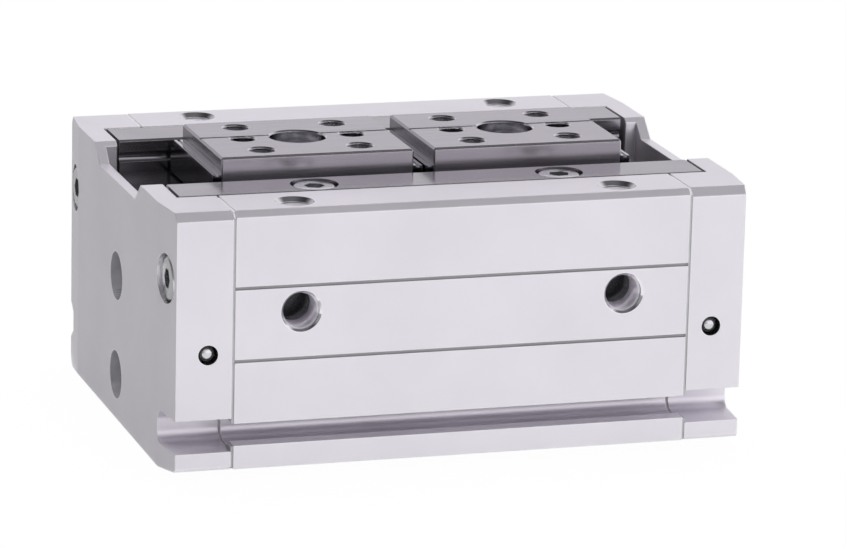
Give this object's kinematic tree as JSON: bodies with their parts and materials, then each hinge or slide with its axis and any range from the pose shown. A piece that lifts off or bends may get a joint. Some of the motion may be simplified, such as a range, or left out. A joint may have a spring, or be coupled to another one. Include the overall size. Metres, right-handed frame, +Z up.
{
  "type": "pneumatic parallel gripper",
  "caption": "Low parallel air gripper with twin bores in a capped body, a recessed steel channel rail and flat ball-guided fingers that open outwards.",
  "frame": {"origin": "bottom centre of the body", "axes": "+X along the fingers' travel (right in the picture), +Y away from the air ports, +Z up out of the finger tops"},
  "size_m": [0.096, 0.072, 0.0466],
  "materials": {
    "anodised_aluminium": "satin clear anodised, fine blasted",
    "ground_steel": "ground",
    "finger_steel": "ground",
    "screw_steel": "bright stainless",
    "gasket_rubber": "matt",
    "piston_aluminium": "turned",
    "seal_rubber": "matt",
    "wear_plastic": "matt",
    "magnet_black": "matt",
    "plate_steel": "fine ground",
    "ball_steel": "polished",
    "gear_steel": "machined"
  },
  "bodies": {
    "housing": {"body": "anodised_aluminium", "left_end_cap": "anodised_aluminium", "right_end_cap": "anodised_aluminium", "left_gasket": "gasket_rubber", "right_gasket": "gasket_rubber", "cap_screws": "screw_steel", "guide_rail": "ground_steel", "rail_screws": "screw_steel", "passage_plugs": "screw_steel", "pinion_cover": "anodised_aluminium", "cover_screws": "screw_steel", "pinion_shaft": "gear_steel"},
    "left_carriage": {"left_finger": "finger_steel", "left_finger_screw": "screw_steel", "left_end_plates": "plate_steel", "left_guide_balls": "ball_steel", "left_drive_block": "gear_steel", "left_drive_screws": "screw_steel", "left_rack": "gear_steel", "left_pistons": "piston_aluminium", "left_piston_seals": "seal_rubber", "left_wear_rings": "wear_plastic", "left_magnet": "magnet_black", "left_piston_screws": "screw_steel"},
    "right_carriage": {"right_finger": "finger_steel", "right_finger_screw": "screw_steel", "right_end_plates": "plate_steel", "right_guide_balls": "ball_steel", "right_drive_block": "gear_steel", "right_drive_screws": "screw_steel", "right_rack": "gear_steel", "right_pistons": "piston_aluminium", "right_piston_seals": "seal_rubber", "right_wear_rings": "wear_plastic", "right_magnet": "magnet_black", "right_piston_screws": "screw_steel"},
    "pinion_gear": {"pinion": "gear_steel"}
  },
  "joints": [
    {"name": "left_finger_slide", "type": "slide", "parent": "housing", "child": "left_carriage", "axis": [-1, 0, 0], "range_m": [-0.0002, 0.0098]},
    {"name": "right_finger_slide", "type": "slide", "parent": "housing", "child": "right_carriage", "axis": [1, 0, 0], "range_m": [-0.0002, 0.0098]},
    {"name": "pinion_turn", "type": "hinge", "parent": "housing", "child": "pinion_gear", "pos_m": [0, 0, 0.0189], "axis": [0, 0, -1], "range_deg": [-1.24, 51.25]}
  ],
  "couplings": [
    {"joint": "right_finger_slide", "follows": "left_finger_slide", "ratio": 1},
    {"joint": "pinion_turn", "follows": "left_finger_slide", "rad_per_m": 90.909}
  ]
}
